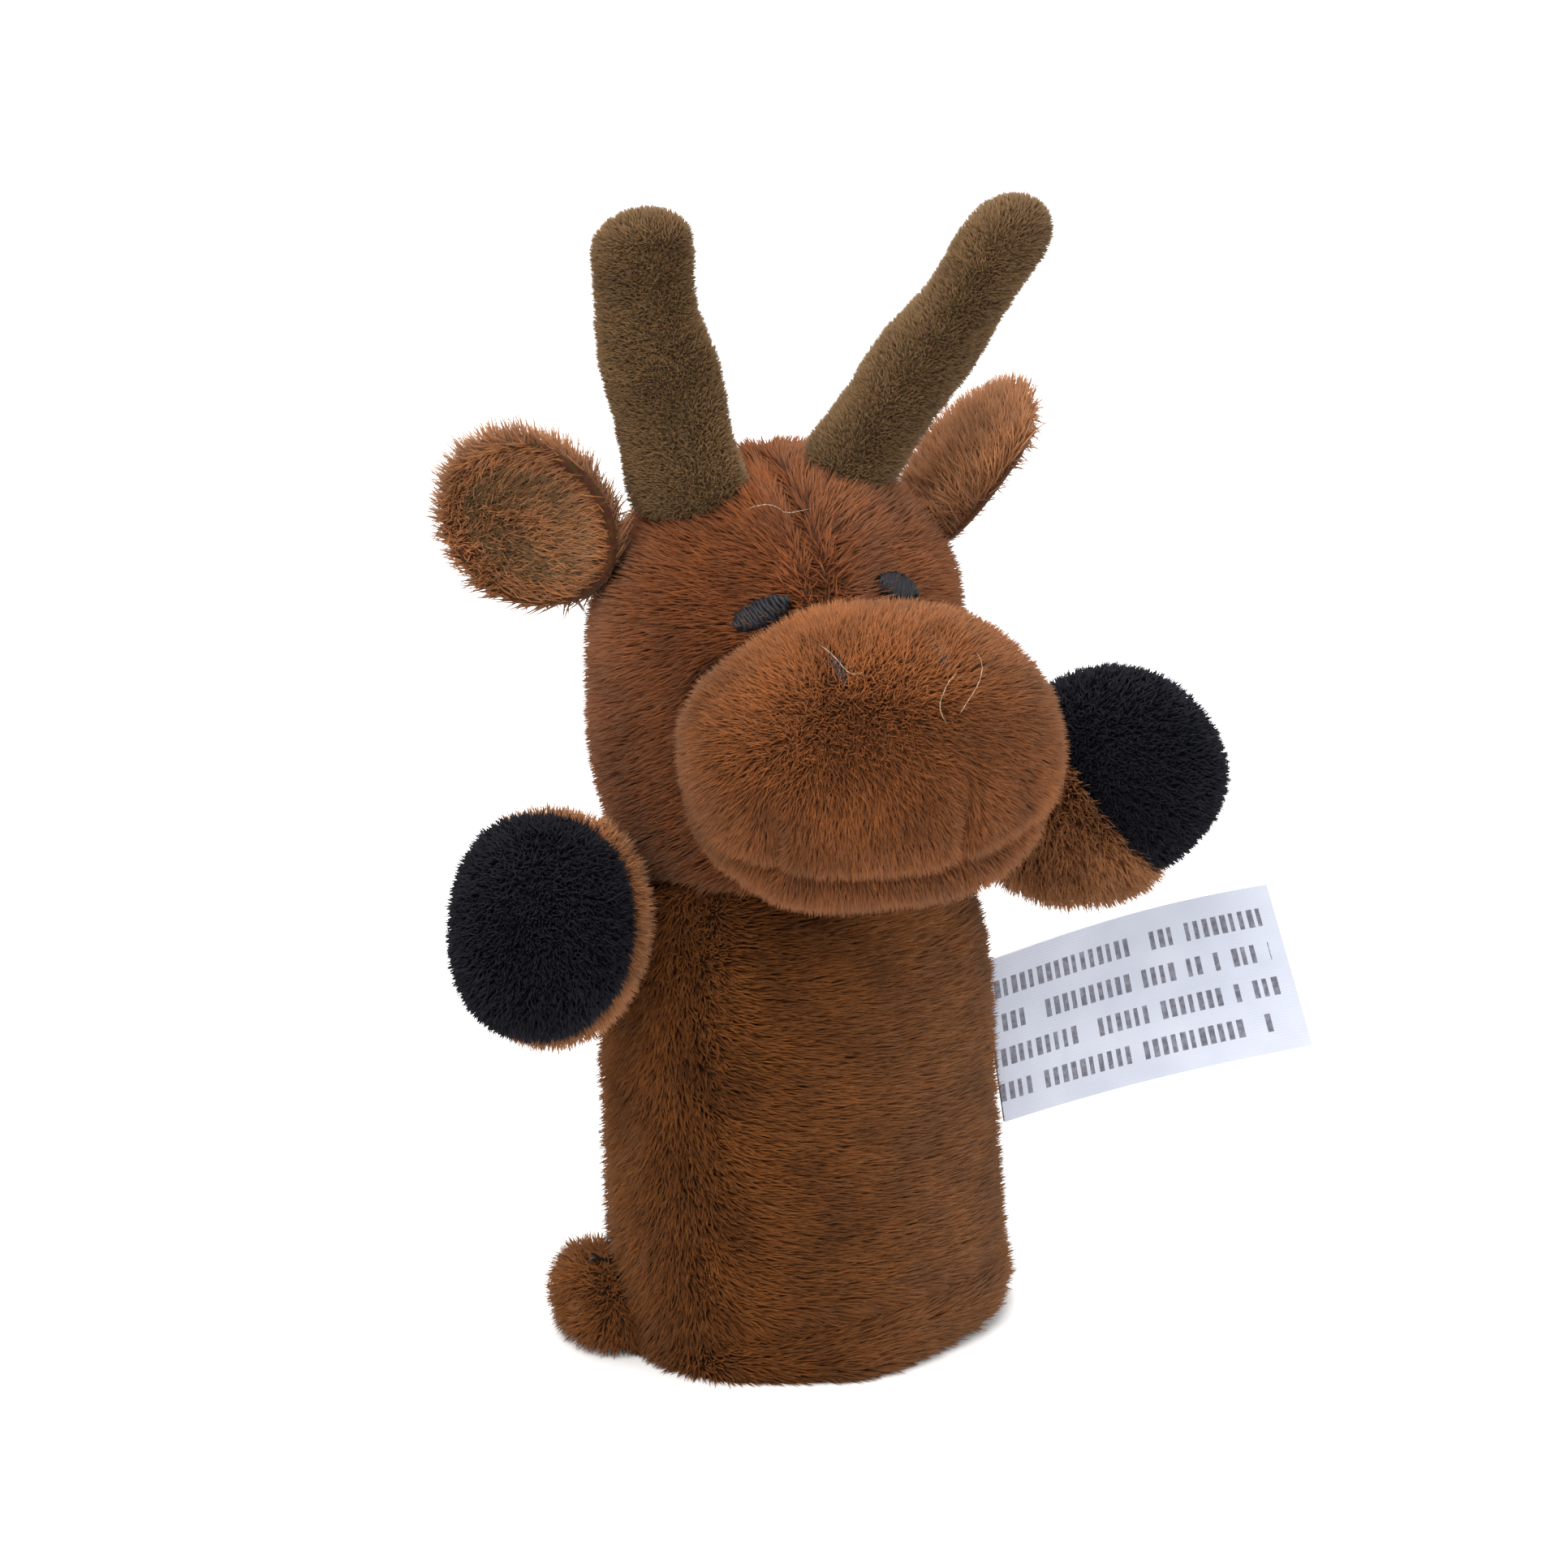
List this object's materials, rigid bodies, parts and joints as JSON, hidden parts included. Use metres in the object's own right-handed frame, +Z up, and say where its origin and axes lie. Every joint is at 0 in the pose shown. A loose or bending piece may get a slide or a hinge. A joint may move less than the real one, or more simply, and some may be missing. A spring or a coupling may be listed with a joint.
{
  "type": "finger puppet",
  "caption": "Small plush finger puppet: brown sleeve open at the hem, horned head with a full muzzle, black-hoofed arms and a satin care label.",
  "frame": {"origin": "middle of the hem, on the plane the hem stands on", "axes": "+Z up from the hem to the head, -Y the way the face looks, +X the puppet's left"},
  "size_m": [0.0832, 0.0446, 0.1015],
  "materials": {
    "plush_brown": "short pile plush",
    "plush_muzzle": "dense velvety pile plush",
    "plush_black": "curly pile plush",
    "velour_tan": "short velour",
    "thread_black": "embroidery thread",
    "thread_brown": "sewing thread",
    "satin_white": "satin ribbon",
    "stuffing": "polyester fibre filling"
  },
  "bodies": {
    "sleeve": {"front_panel": "plush_brown", "back_panel": "plush_brown", "side_seam_left": "plush_brown", "side_seam_right": "plush_brown", "hem_facing": "plush_brown", "hem_stitching": "thread_black", "hem_flare": "plush_brown"},
    "head": {"head_stuffing": "stuffing", "face_left": "plush_brown", "face_right": "plush_brown", "head_back": "plush_brown", "forehead_seam": "thread_brown", "muzzle_stuffing": "stuffing", "muzzle_panel": "plush_muzzle", "chin_panel": "plush_muzzle", "mouth_stitch": "thread_brown", "nostril_left": "thread_black", "nostril_right": "thread_black", "eye_left": "thread_black", "eye_right": "thread_black"},
    "ear_left": {"ear_left_back": "plush_brown", "ear_left_lining": "velour_tan"},
    "ear_right": {"ear_right_back": "plush_brown", "ear_right_lining": "velour_tan"},
    "antler_left": {"antler_left_stuffing": "stuffing", "antler_left_cover": "velour_tan"},
    "antler_right": {"antler_right_stuffing": "stuffing", "antler_right_cover": "velour_tan"},
    "arm_left": {"arm_left_stuffing": "stuffing", "arm_left_cover": "plush_brown", "hoof_left_cover": "plush_black"},
    "arm_right": {"arm_right_stuffing": "stuffing", "arm_right_cover": "plush_brown", "hoof_right_cover": "plush_black"},
    "label": {"care_label": "satin_white"}
  },
  "joints": [
    {"name": "head_nod", "type": "hinge", "parent": "sleeve", "child": "head", "pos_m": [-0.00285, 0, 0.04792], "axis": [0.9982, 0, 0.0593], "range_deg": [-12, 14], "stiffness_Nm_per_rad": 0.06},
    {"name": "arm_left_swing", "type": "hinge", "parent": "sleeve", "child": "arm_left", "pos_m": [0.01527, 0, 0.04096], "axis": [0.0593, 0, -0.9982], "range_deg": [-55, 10], "stiffness_Nm_per_rad": 0.012},
    {"name": "arm_right_swing", "type": "hinge", "parent": "sleeve", "child": "arm_right", "pos_m": [-0.02001, 0, 0.03887], "axis": [-0.0593, 0, 0.9982], "range_deg": [-70, 2], "stiffness_Nm_per_rad": 0.012},
    {"name": "antler_left_flex", "type": "hinge", "parent": "head", "child": "antler_left", "pos_m": [0.00268, -0.0015, 0.07741], "axis": [-0.6793, -0.6917, 0.2453], "range_deg": [-18, 18], "stiffness_Nm_per_rad": 0.012},
    {"name": "antler_right_flex", "type": "hinge", "parent": "head", "child": "antler_right", "pos_m": [-0.01183, -0.0015, 0.07655], "axis": [0.6879, -0.7071, 0.1639], "range_deg": [-14, 18], "stiffness_Nm_per_rad": 0.012},
    {"name": "ear_left_flap", "type": "hinge", "parent": "head", "child": "ear_left", "pos_m": [0.01101, -0.0012, 0.07312], "axis": [0.2657, -0.8375, 0.4775], "range_deg": [-20, 20], "stiffness_Nm_per_rad": 0.004},
    {"name": "ear_right_flap", "type": "hinge", "parent": "head", "child": "ear_right", "pos_m": [-0.01959, -0.0012, 0.0713], "axis": [0.1769, -0.3732, 0.9107], "range_deg": [-20, 20], "stiffness_Nm_per_rad": 0.004},
    {"name": "label_flap", "type": "hinge", "parent": "sleeve", "child": "label", "pos_m": [0.01778, 0, 0.02366], "axis": [-0.0593, 0, 0.9982], "range_deg": [-60, 60], "stiffness_Nm_per_rad": 0.0012}
  ]
}
